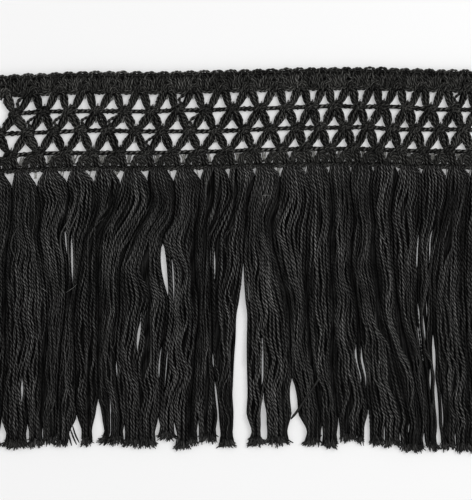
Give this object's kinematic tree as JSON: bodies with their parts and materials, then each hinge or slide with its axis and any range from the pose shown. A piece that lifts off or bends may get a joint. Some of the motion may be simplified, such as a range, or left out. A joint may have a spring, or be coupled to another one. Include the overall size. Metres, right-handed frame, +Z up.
{
  "type": "tassel fringe trim",
  "caption": "Cotton fringe trim: a scalloped crocheted edge braid and an open knotted net that carry a row of long tassels of twisted yarn, lying flat.",
  "frame": {"origin": "on the flat back of the edge braid, in the middle of its length and of its width", "axes": "+X along the trim, +Y across it towards the scalloped edge, +Z up out of its face"},
  "size_m": [0.2091, 0.154, 0.0035],
  "materials": {
    "net_yarn": "matt charcoal two-ply cotton yarn, crocheted and knotted",
    "tassel_yarn": "matt charcoal two-ply cotton yarn, loose strands with brushed cut ends"
  },
  "bodies": {
    "root": {"heading": "net_yarn", "tassel_01": "tassel_yarn", "tassel_02": "tassel_yarn", "tassel_03": "tassel_yarn", "tassel_04": "tassel_yarn", "tassel_05": "tassel_yarn", "tassel_06": "tassel_yarn", "tassel_07": "tassel_yarn", "tassel_08": "tassel_yarn", "tassel_09": "tassel_yarn", "tassel_10": "tassel_yarn", "tassel_11": "tassel_yarn", "tassel_12": "tassel_yarn", "tassel_13": "tassel_yarn", "tassel_14": "tassel_yarn", "tassel_15": "tassel_yarn", "tassel_16": "tassel_yarn", "tassel_17": "tassel_yarn", "tassel_18": "tassel_yarn", "tassel_19": "tassel_yarn", "tassel_20": "tassel_yarn"}
  },
  "joints": []
}
